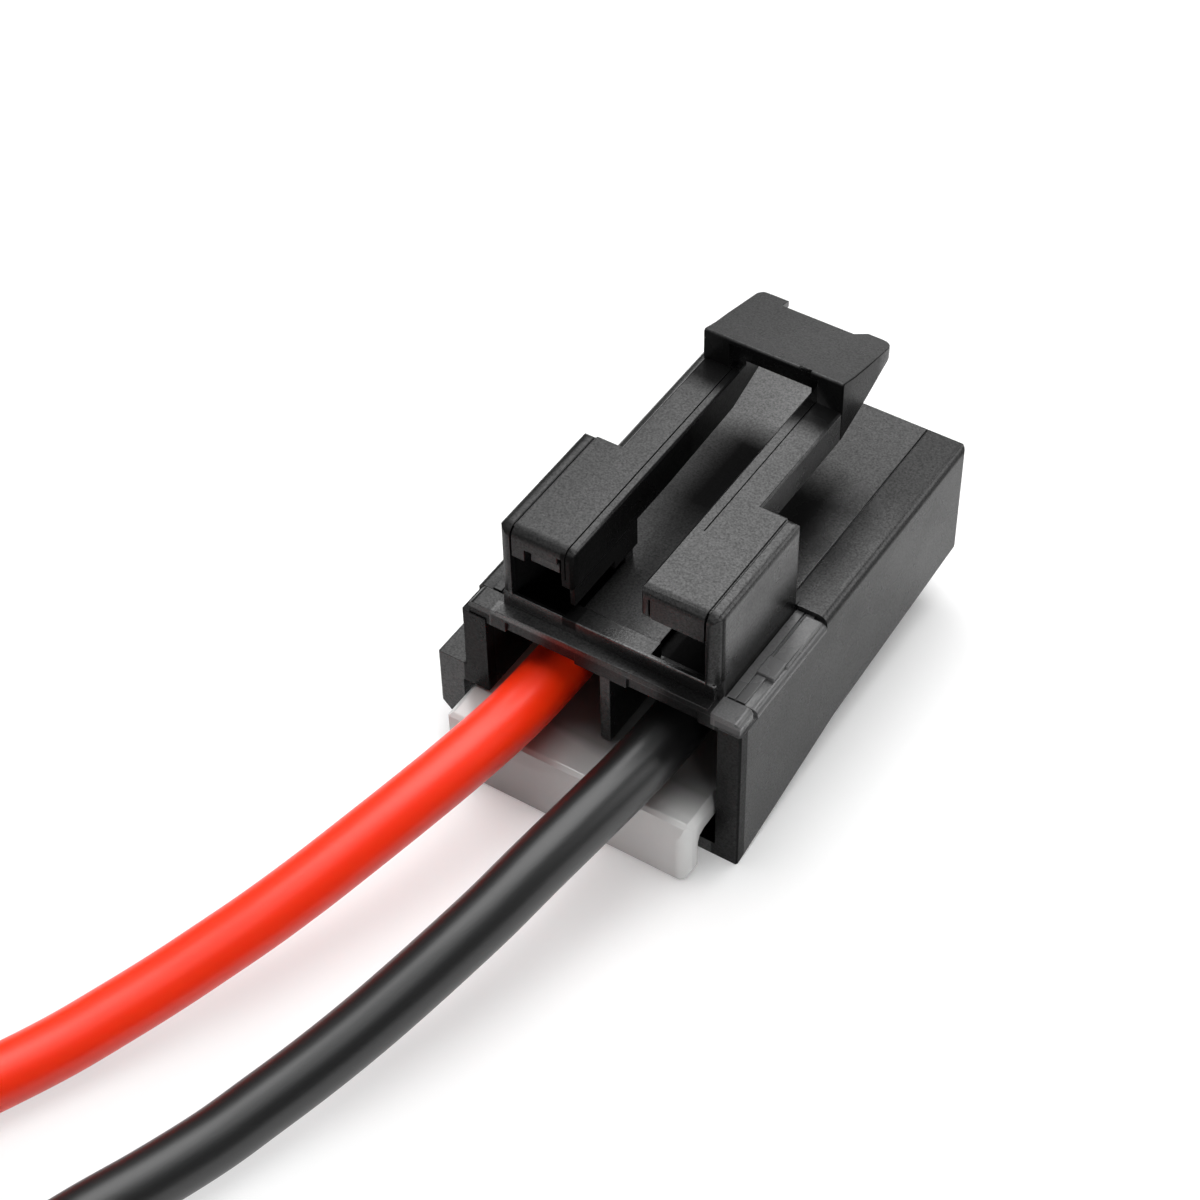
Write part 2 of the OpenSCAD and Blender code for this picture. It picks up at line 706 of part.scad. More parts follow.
// Tube along Y about a lead's axis
module barrel(y0, y1, r_in, r_out) {
    translate([wire_x, y1, wire_z]) rotate([90, 0, 0])
        difference() {
            cylinder(r = r_out, h = y1 - y0, $fn = 48);
            translate([0, 0, -1]) cylinder(r = r_in, h = y1 - y0 + 2, $fn = 48);
        }
}

// Stamped receptacle terminal of the right-hand lead: socket, neck, strand crimp and grip
module terminal() {
    grip_in = wire_d / 2 + crimp_gap;
    crimp_in = strand_d / 2 + crimp_gap;
    grip_low = wire_z - grip_in - sheet_t;
    crimp_low = wire_z - crimp_in - sheet_t;
    socket_low = wire_z - socket_h / 2;
    neck_half = 1.3;
    slit = 0.15;
    side = socket_w / 2;
    roof = socket_h / 2;
    tongue_z = wire_z + roof - sheet_t + eps;
    tongue_l = 3;
    tongue_root = 2.2;
    tongue_bend = socket_front - tongue_l;
    tongue_tip = socket_front - 1;
    contact_z = wire_z + 0.4;
    tip_z = wire_z + 0.9;
    inset = sheet_t - 0.03;
    from_rear() {
        difference() {
            union() {
                barrel(grip_rear, grip_front, grip_in, grip_in + sheet_t);
                barrel(crimp_rear, crimp_front, crimp_in, crimp_in + sheet_t);
            }
            block(wire_x - slit, wire_x + slit, grip_rear - 1, crimp_front + 1, wire_z, far);
        }
        across(wire_x - neck_half / 2, wire_x + neck_half / 2)
            polygon([[grip_front - 0.6, grip_low + 0.05], [grip_front + 0.5, grip_low + 0.05],
                     [crimp_rear + 0.1, crimp_low + 0.05], [crimp_front, crimp_low + 0.05],
                     [socket_rear + 0.5, socket_low], [socket_rear + 0.5, socket_low + sheet_t],
                     [crimp_front, crimp_low + inset], [crimp_rear, crimp_low + inset],
                     [grip_front + 0.4, grip_low + inset], [grip_front - 0.6, grip_low + inset]]);
        translate([wire_x, 0, wire_z])
            difference() {
                soft_block(-side, side, socket_rear, socket_front, -roof, roof);
                block(sheet_t - side, side - sheet_t, socket_rear - 1, socket_front + 1,
                      sheet_t - roof, roof - sheet_t);
            }
        across(wire_x - neck_half, wire_x + neck_half)
            polygon([[socket_rear + 0.6, tongue_z], [tongue_bend, contact_z], [tongue_tip, tip_z],
                     [tongue_tip, tip_z + sheet_t / 2], [tongue_bend, contact_z + sheet_t],
                     [socket_rear + tongue_root, tongue_z]]);
    }
}

module red_lead_terminal() {
    color([0.78, 0.77, 0.72]) mirror([1, 0, 0]) terminal();
}

module black_lead_terminal() {
    color([0.78, 0.77, 0.72]) terminal();
}

// Direction of a route at one of its points
function heading(route, i) =
    let (ahead = route[min(i + 1, len(route) - 1)], behind = route[max(i - 1, 0)])
    (ahead - behind) / norm(ahead - behind);

// Ring of points square to the route at one of its points
function ring(route, i, r) =
    let (h = heading(route, i), side = cross(h, [0, 0, 1]) / norm(cross(h, [0, 0, 1])), up = cross(side, h))
    [for (k = [0 : lead_sides - 1])
        route[i] + r * (cos(360 * k / lead_sides) * side + sin(360 * k / lead_sides) * up)];

// Plain tube along a route, closed at both ends
module lead_tube(route, r) {
    n = lead_sides;
    last = len(route) - 1;
    rings = [for (i = [0 : last]) each ring(route, i, r)];
    walls = [for (i = [0 : last - 1], k = [0 : n - 1]) each
        [[i * n + k, (i + 1) * n + k, (i + 1) * n + (k + 1) % n],
         [i * n + k, (i + 1) * n + (k + 1) % n, i * n + (k + 1) % n]]];
    ends = [[for (k = [0 : n - 1]) k], [for (k = [n - 1 : -1 : 0]) last * n + k]];
    polyhedron(rings, concat(walls, ends));
}

module red_lead() {
    color([0.93, 0.1, 0.04]) lead_tube(red_route, wire_d / 2);
}

module black_lead() {
    color([0.07, 0.07, 0.08]) lead_tube(black_route, wire_d / 2);
}

// Bare conductor inside the terminal, in front of the insulation's end
module crimped_strands(x) {
    color([0.72, 0.45, 0.28])
        from_rear()
            translate([x, strand_end, wire_z]) rotate([90, 0, 0])
                cylinder(d = strand_d, h = strand_end - lead_end, $fn = 48);
}

module red_lead_crimped_strands() {
    crimped_strands(-wire_x);
}

module black_lead_crimped_strands() {
    crimped_strands(wire_x);
}

// Stripped conductor beyond the free end of a route, in line with its last stretch
module bare_end(route) {
    last = route[len(route) - 1];
    run = heading(route, len(route) - 1);
    color([0.72, 0.45, 0.28])
        translate(last) rotate([0, 90, atan2(run[1], run[0])])
            cylinder(d = strand_d, h = strip_l, $fn = 48);
}

module red_lead_bare_end() {
    bare_end(red_route);
}

module black_lead_bare_end() {
    bare_end(black_route);
}

housing();
terminal_retainer();
red_lead_terminal();
black_lead_terminal();
red_lead();
black_lead();
red_lead_crimped_strands();
black_lead_crimped_strands();
red_lead_bare_end();
black_lead_bare_end();
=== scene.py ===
"""Looks of a two-way power pigtail connector: black moulded housing, grey retainer, red and black leads."""

import bmesh
import bpy
import numpy as np
from mathutils import Matrix, Vector


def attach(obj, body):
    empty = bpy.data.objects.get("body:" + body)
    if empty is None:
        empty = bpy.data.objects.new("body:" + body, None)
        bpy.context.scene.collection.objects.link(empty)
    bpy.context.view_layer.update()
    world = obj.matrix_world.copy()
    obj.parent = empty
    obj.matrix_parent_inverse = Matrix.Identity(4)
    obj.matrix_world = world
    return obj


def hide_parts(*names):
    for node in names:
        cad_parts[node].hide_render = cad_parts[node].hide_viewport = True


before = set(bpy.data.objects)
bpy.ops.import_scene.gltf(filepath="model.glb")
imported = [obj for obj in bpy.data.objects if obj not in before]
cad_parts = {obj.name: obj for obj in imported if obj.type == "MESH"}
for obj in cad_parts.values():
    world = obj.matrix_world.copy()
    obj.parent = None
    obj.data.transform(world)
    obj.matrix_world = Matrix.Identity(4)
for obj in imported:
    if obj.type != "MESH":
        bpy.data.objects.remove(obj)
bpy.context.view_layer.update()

# Camera: it looks down on the connector's rear end from the right, close by and with a long lens.
# Its place is in the part's frame, and it leans a little to its right about its own line of sight.
MM = 0.001
camera_place = Vector((66.65, -114.82, 145.9)) * MM
camera_azimuth = np.radians(33.68)
camera_elevation = np.radians(46.5)
camera_lean = np.radians(-1.24)
camera_lens = 84
camera_sensor = 36
camera_near = 10 * MM

camera_data = bpy.data.cameras.new("camera")
camera_data.lens = camera_lens
camera_data.sensor_width = camera_sensor
camera_data.clip_start = camera_near
camera = bpy.data.objects.new("camera", camera_data)
sight = Vector((-np.sin(camera_azimuth) * np.cos(camera_elevation),
                np.cos(camera_azimuth) * np.cos(camera_elevation),
                -np.sin(camera_elevation)))
turn = sight.to_track_quat("-Z", "Y").to_matrix() @ Matrix.Rotation(camera_lean, 3, "Z")
camera.matrix_world = Matrix.Translation(camera_place) @ turn.to_4x4()
bpy.context.scene.collection.objects.link(camera)
bpy.context.scene.camera = camera

# Leads: stranded copper in a smooth extruded skin, red on the left and black on the right.
# Each leaves its terminal level, sinks to the table in one bow and ends stripped, outside the view.
lead_d = 4 * MM
lead_sides = 40
lead_steps = 8
skin_lip = 0.12 * MM
lip_share = 1 - 2 * skin_lip / lead_d
point_share = 0.01
streak_scale = (60, 9, 1)
drag_scale = (900, 60, 1)
red_tones = ((0.95, 0.034, 0.003, 1), (0.92, 0.027, 0.0025, 1))
black_tones = ((0.005, 0.005, 0.0053, 1), (0.004, 0.004, 0.0042, 1))

red_route = np.array([
    [-4.6, -5.6, 8.5], [-4.6, -10, 8.5], [-4.7, -15.5, 8.5], [-5, -19, 8.4], [-5.8, -23.5, 8.1],
    [-6.8, -27.5, 7.6], [-7.9, -31, 6.9], [-9.1, -34.5, 6.1], [-10.5, -38, 5.2], [-12, -41.2, 4.3],
    [-13.5, -44.4, 3.5], [-15, -47.6, 2.9], [-16.6, -51, 2.4], [-18.5, -54.8, 2.15], [-20.7, -59.2, 2.1],
    [-22.6, -63.8, 2.1], [-23.9, -69, 2.1], [-24.6, -75, 2.1], [-24.8, -82, 2.1], [-24.6, -90, 2.1],
    [-24.2, -99, 2.1], [-23.8, -109, 2.1], [-23.5, -119, 2.1], [-23.3, -129, 2.1], [-23.2, -139.4, 2.1],
]) * MM
black_route = np.array([
    [4.6, -5.6, 8.5], [4.6, -10, 8.5], [4.5, -15.5, 8.5], [4.2, -19, 8.4], [3.6, -23.3, 8.1],
    [2.9, -27.4, 7.6], [2.2, -31, 6.9], [1.3, -34.6, 6.1], [0.3, -38, 5.2], [-0.8, -41.4, 4.3],
    [-2, -44.8, 3.5], [-3.2, -48.1, 2.9], [-4.4, -51.4, 2.4], [-6, -55.4, 2.15], [-7.9, -60, 2.1],
    [-9.5, -65, 2.1], [-10.7, -71, 2.1], [-11.3, -78, 2.1], [-11.4, -86, 2.1], [-11.2, -95, 2.1],
    [-10.9, -105, 2.1], [-10.6, -115, 2.1], [-10.4, -125, 2.1], [-10.3, -132, 2.1], [-10.2, -140.8, 2.1],
]) * MM


def unit(vectors):
    """Each vector divided by its length."""
    return vectors / np.linalg.norm(vectors, axis=-1, keepdims=True)


def smooth_path(points, steps):
    """Catmull-Rom curve: between two points, the cubic that leaves each along its neighbours' chord."""
    p = np.vstack([2 * points[0] - points[1], points, 2 * points[-1] - points[-2]])
    a, b, c, d = p[:-3, None], p[1:-2, None], p[2:-1, None], p[3:, None]
    t = (np.arange(steps) / steps)[None, :, None]
    curve = b + 0.5 * t * (c - a + t * (2 * a - 5 * b + 4 * c - d + t * (3 * (b - c) + d - a)))
    return np.vstack([curve.reshape(-1, 3), points[-1:]])


def tube(path, radius, sides):
    """Rings square to a path, one for each point: centre + radius * (cos a * level side + sin a * up)."""
    run = unit(np.gradient(path, axis=0))
    side = unit(np.cross(run, [0.0, 0.0, 1.0]))
    up = np.cross(side, run)
    a = 2 * np.pi * np.arange(sides) / sides
    spokes = np.cos(a)[None, :, None] * side[:, None] + np.sin(a)[None, :, None] * up[:, None]
    return path[:, None] + np.reshape(radius, (-1, 1, 1)) * spokes


def ring_faces(rings, sides):
    """Four corners of each face between neighbouring rings, the last side joined to the first."""
    i, k = np.meshgrid(np.arange(rings - 1), np.arange(sides), indexing="ij")
    after = (k + 1) % sides
    return np.stack([i * sides + k, (i + 1) * sides + k, (i + 1) * sides + after, i * sides + after],
                    axis=-1).reshape(-1, 4)


def new_piece(name, verts, faces, material):
    """Mesh object at the origin from arrays of corners and faces, shaded smooth."""
    mesh = bpy.data.meshes.new(name)
    mesh.from_pydata(verts.reshape(-1, 3).tolist(), [], faces.tolist())
    mesh.validate()
    mesh.shade_smooth()
    mesh.materials.append(material)
    piece = bpy.data.objects.new(name, mesh)
    bpy.context.scene.collection.objects.link(piece)
    return piece


def feed(socket, value):
    """Sets a shader socket to a constant, or links another node's output to it."""
    if isinstance(value, bpy.types.NodeSocket):
        socket.id_data.links.new(value, socket)
    else:
        socket.default_value = value


def set_inputs(node, **inputs):
    """Feeds a node's inputs by name, with underscores for the spaces."""
    for name, value in inputs.items():
        feed(node.inputs[name.replace("_", " ")], value)


def new_material(name):
    """New material; returns it, its Principled shader and a short way to add a node with its inputs."""
    material = bpy.data.materials.new(name)
    material.use_nodes = True

    def add(kind, settings=None, **inputs):
        node = material.node_tree.nodes.new(kind)
        for key, value in (settings or {}).items():
            setattr(node, key, value)
        set_inputs(node, **inputs)
        return node
    return material, material.node_tree.nodes["Principled BSDF"], add


def ranged(add, value, start, end, low=0.0, high=1.0):
    """Straight ramp: low where the value is at start or before, high at end or beyond."""
    limits = {"From_Min": start, "From_Max": end, "To_Min": low, "To_Max": high}
    return add("ShaderNodeMapRange", Value=value, **limits).outputs["Result"]


def between(add, factor, first, second):
    """Colour on the way from the first to the second; the Mix node's colour sockets go by number."""
    node = add("ShaderNodeMix", {"data_type": "RGBA"}, Factor=factor)
    feed(node.inputs[6], first)
    feed(node.inputs[7], second)
    return node.outputs[2]


def noise(add, place, scale, detail, roughness=0.5):
    """Soft noise between 0 and 1 at a place; the scale is in patches to the unit of the place."""
    settings = {"Scale": scale, "Detail": detail, "Roughness": roughness}
    return add("ShaderNodeTexNoise", Vector=place, **settings).outputs["Fac"]


def stretched(add, place, scale):
    """Place multiplied by a scale for each direction."""
    return add("ShaderNodeMapping", Vector=place, Scale=scale).outputs["Vector"]


def grained(add, height, strength, depth):
    """Normal of a surface with a fine relief of the given depth."""
    return add("ShaderNodeBump", Height=height, Strength=strength, Distance=depth).outputs["Normal"]


def skin_material(name, tones, roughness, shine, depth):
    """Extruded skin: two close tones in long streaks, with a fine drag texture along the lead."""
    material, shader, add = new_material(name)
    along = add("ShaderNodeUVMap", {"uv_map": "along"}).outputs["UV"]
    streaks = noise(add, stretched(add, along, streak_scale), scale=1.0, detail=4.0)
    lines = noise(add, stretched(add, along, drag_scale), scale=1.0, detail=2.0)
    set_inputs(shader,
               Base_Color=between(add, streaks, *tones),
               Roughness=ranged(add, streaks, 0, 1, *roughness),
               Normal=grained(add, lines, strength=0.12, depth=0.02 * MM),
               IOR=1.5,
               Specular_IOR_Level=shine,
               Subsurface_Weight=depth,
               Subsurface_Radius=(1.0, 0.3, 0.2),
               Subsurface_Scale=1.5 * MM)
    return material


def lead_piece(name, route, material):
    """Tube along the smoothed route, with a small lip at both cut ends and flat ends closed to a point.
    Its map runs along the lead in the first direction and once around it in the second."""
    middle = smooth_path(route, lead_steps)
    first, last = unit(middle[1] - middle[0]), unit(middle[-1] - middle[-2])
    inner = np.vstack([middle[0] + skin_lip * first, middle[1:-1], middle[-1] - skin_lip * last])
    body = tube(inner, lead_d / 2, lead_sides)
    head = middle[0] + (body[0] - inner[0]) * np.reshape([point_share, lip_share], (-1, 1, 1))
    foot = middle[-1] + (body[-1] - inner[-1]) * np.reshape([lip_share, point_share], (-1, 1, 1))
    rings = np.concatenate([head, body, foot])
    piece = new_piece(name, rings, ring_faces(len(rings), lead_sides), material)
    length = np.concatenate([[0], np.cumsum(np.linalg.norm(np.diff(middle, axis=0), axis=1))])
    along = np.concatenate([[0, 0], length, [length[-1]] * 2])
    corners = np.array([loop.vertex_index for loop in piece.data.loops])
    ring, spoke = corners // lead_sides, corners % lead_sides
    spoke = np.where((spoke == 0) & (np.arange(len(corners)) % 4 > 1), lead_sides, spoke)
    uv = np.stack([along[ring], spoke / lead_sides], axis=1)
    piece.data.uv_layers.new(name="along").data.foreach_set("uv", uv.astype(np.float32).ravel())
    return piece, middle, float(length[-1])


red_skin = skin_material("red_insulation", red_tones, roughness=(0.31, 0.41), shine=0.45, depth=0.4)
black_skin = skin_material("black_insulation", black_tones, roughness=(0.31, 0.41), shine=0.75, depth=0.0)
red_lead, red_path, red_length = lead_piece("red_lead_skin", red_route, red_skin)
black_lead, black_path, black_length = lead_piece("black_lead_skin", black_route, black_skin)

# Bare ends: the copper strands that stand out of the stripped leads, twisted by hand.
# One strand runs in the middle, with a ring of six and a ring of twelve laid round it.
strip_l = 8 * MM
strand_bundle_d = 2.3 * MM
strand_d = strand_bundle_d / 5
strand_sides = 8
strand_rings = 18
ring_counts = (1, 6, 12)
strand_count = sum(ring_counts)
twist = np.radians(75)
tip_spread = 0.03
tip_step = 2.4
tip_flare = 0.08
tip_point = 0.02
tip_cap = 0.001 * MM
copper_tones = ((0.84, 0.43, 0.24, 1), (0.62, 0.27, 0.13, 1))


def copper_material():
    """Bare drawn copper, a little dull, with darker tarnish in soft patches."""
    material, shader, add = new_material("copper_strands")
    patches = noise(add, add("ShaderNodeTexCoord").outputs["Object"], scale=900.0, detail=4.0)
    set_inputs(shader,
               Base_Color=between(add, patches, *copper_tones),
               Roughness=ranged(add, patches, 0, 1, low=0.22, high=0.42),
               Metallic=1.0)
    return material


def bare_strands(name, start, run, material):
    """Strands as tubes on helices, centre = start + s * run + R * (cos, sin)(a + twist * s), in rings of
    radius R from the middle outwards, with the tips cut at slightly different lengths."""
    ring_of = np.repeat([0, 1, 2], ring_counts)
    _, inner, outer = ring_counts
    turns = np.concatenate([[0], np.arange(inner) / inner, (np.arange(outer) + 0.5) / outer])
    reach = strip_l * (1 - tip_spread + tip_spread * np.sin(tip_step * np.arange(strand_count)))
    s = np.linspace(0, 1, strand_rings)[None, :] * reach[:, None]
    a = 2 * np.pi * turns[:, None] + twist * s / strip_l
    out = (ring_of * strand_d)[:, None] * (1 + tip_flare * (s / strip_l) ** 2)
    side = unit(np.cross(run, [0.0, 0.0, 1.0]))
    up = np.cross(side, run)
    sway = (out * np.cos(a))[..., None] * side + (out * np.sin(a))[..., None] * up
    centres = start + s[..., None] * run + sway
    radius = np.full(strand_rings + 1, strand_d / 2)
    radius[-1] = tip_point * strand_d
    tubes = np.stack([tube(np.vstack([c, c[-1:] + tip_cap * run]), radius, strand_sides) for c in centres])
    faces = ring_faces(strand_rings + 1, strand_sides)
    step = (strand_rings + 1) * strand_sides
    return new_piece(name, tubes, np.concatenate([faces + step * k for k in range(strand_count)]), material)


copper = copper_material()
for colour, lead, path, length in (("red", red_lead, red_path, red_length),
                                   ("black", black_lead, black_path, black_length)):
    end = bare_strands(colour + "_lead_strands", path[-1], unit(path[-1] - path[-2]), copper)
    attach(lead, "root")
    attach(end, "root")
    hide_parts(colour + "_lead")
    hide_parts(colour + "_lead_bare_end")

# Terminals: stamped sheet receptacles, tin plated, each folded round its lead's strands and skin.
# They sit inside the housing, seen through the blade slots and, deep down, from the rear.
roll_scale = (9000, 500, 9000)
tin_tone = (0.72, 0.7, 0.66, 1)


def tinned_material():
    """Tin plate: pale warm grey metal with faint roll marks along the strip."""
    material, shader, add = new_material("tinned_sheet")
    place = add("ShaderNodeTexCoord").outputs["Object"]
    marks = noise(add, stretched(add, place, roll_scale), scale=1.0, detail=3.0)
    set_inputs(shader,
               Base_Color=tin_tone,
               Roughness=ranged(add, marks, 0, 1, low=0.2, high=0.38),
               Normal=grained(add, marks, strength=0.2, depth=0.01 * MM),
               Metallic=1.0)
    return material


def dress(node, material):
    """Gives a solid that stays as it is its finish."""
    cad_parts[node].data.materials.clear()
    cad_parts[node].data.materials.append(material)


tinned = tinned_material()
for colour in ("red", "black"):
    dress(colour + "_lead_terminal", tinned)
    dress(colour + "_lead_crimped_strands", copper)

# Retainer: a light grey moulding that slides in under the terminals and locks them.
# Its rear apron and the ear at its left end stand out of the housing, with soft rounded edges.
retainer_round = 0.2 * MM
sharp_angle = np.radians(28)
flat_angle = np.radians(0.6)
same_place = 0.0005 * MM
round_steps = 3
flat_weight = 60
room_share = 0.42
least_lean = 0.15
grey_tones = ((0.6, 0.6, 0.595, 1), (0.52, 0.52, 0.515, 1))
painted_shade_grey = (0.21, 0.21, 0.208, 1)


def free_width(loop):
    """Room beside an edge in one of its faces: the shorter neighbour's length square to the edge."""
    room = []
    for corner, neighbour in ((loop, loop.link_loop_prev), (loop.link_loop_next, loop.link_loop_next)):
        lean = np.sin(corner.calc_angle())
        if lean > least_lean:
            room.append(neighbour.edge.calc_length() * lean)
    return min(room, default=1.0)


def moulded(node, name, width, material):
    """Copy of a solid as one closed skin: doubles merged and flat triangles joined. Each outer edge is
    rounded by the width, or by as much as its neighbours leave room for."""
    skin = bmesh.new()
    skin.from_mesh(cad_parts[node].data)
    bmesh.ops.remove_doubles(skin, verts=skin.verts, dist=same_place)
    bmesh.ops.dissolve_limit(skin, angle_limit=flat_angle, verts=skin.verts, edges=skin.edges,
                             delimit=set())
    weight = skin.edges.layers.float.new("bevel_weight_edge")
    for edge in skin.edges:
        if len(edge.link_faces) != 2:
            continue
        bend = edge.calc_face_angle_signed(0.0)
        if bend > sharp_angle:
            room = min(free_width(loop) for loop in edge.link_loops)
            edge[weight] = min(1.0, room_share * room / width)
        edge.smooth = abs(bend) < sharp_angle or edge[weight] > 0
    mesh = bpy.data.meshes.new(name)
    skin.to_mesh(mesh)
    skin.free()
    for face in mesh.polygons:
        face.use_smooth = True
    mesh.materials.clear()
    mesh.materials.append(material)
    piece = bpy.data.objects.new(name, mesh)
    bpy.context.scene.collection.objects.link(piece)
    rounding = piece.modifiers.new("rounding", "BEVEL")
    rounding.limit_method = "WEIGHT"
    rounding.width = width
    rounding.segments = round_steps
    rounding.use_clamp_overlap = False
    rounding.miter_outer = "MITER_SHARP"
    shading = piece.modifiers.new("shading", "WEIGHTED_NORMAL")
    shading.weight = flat_weight
    shading.keep_sharp = True
    return piece


def calculated(add, operation, *values):
    """Result of one sum on one or two values."""
    node = add("ShaderNodeMath", {"operation": operation})
    for socket, value in zip(node.inputs, values):
        feed(socket, value)
    return node.outputs["Value"]


def retainer_material():
    """Natural grey nylon: pale, a little see-through at thin edges, with a soft uneven gloss. Its colour
    carries
    painted shade: darker towards the left and inside the housing, apart from the ear."""
    material, shader, add = new_material("grey_nylon")
    place = add("ShaderNodeTexCoord").outputs["Object"]
    axes = add("ShaderNodeSeparateXYZ", Vector=place).outputs
    clouds = noise(add, place, scale=220.0, detail=3.0)
    grain = noise(add, place, scale=5000.0, detail=2.0)
    beside_ear = ranged(add, axes["X"], -8.6 * MM, -8.2 * MM)
    left = ranged(add, axes["X"], 7 * MM, -6 * MM)
    inside = ranged(add, axes["Y"], -17.2 * MM, -15 * MM)
    painted_shade = calculated(add, "MULTIPLY", beside_ear, calculated(add, "MAXIMUM", left, inside))
    set_inputs(shader,
               Base_Color=between(add, painted_shade, between(add, clouds, *grey_tones), painted_shade_grey),
               Roughness=ranged(add, clouds, 0, 1, low=0.18, high=0.28),
               Normal=grained(add, grain, strength=0.1, depth=0.02 * MM),
               Specular_IOR_Level=0.8,
               Subsurface_Weight=0.15,
               Subsurface_Radius=(1.0, 1.0, 1.0),
               Subsurface_Scale=0.8 * MM)
    return material


retainer = moulded("terminal_retainer", "retainer_skin", retainer_round, retainer_material())
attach(retainer, "root")
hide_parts("terminal_retainer")

# Housing: one black nylon moulding with its latch frame on top, eroded to a fine matt grain.
# Outer edges are slightly rounded by the mould, and painted shade and sheen raise or lower its gloss by
# zones.
housing_round = 0.06 * MM
black_nylon = (0.006, 0.006, 0.0061, 1)
pale_ledge_nylon = (0.09, 0.09, 0.091, 1)
cloud_roughness = (0.24, 0.32)
wall_roughness = 0.2
deck_roughness = 0.12
grain_gloss = (0.26, 0.74)
grain_relief = (0.22, 0.6)
grain_depth = 0.02 * MM


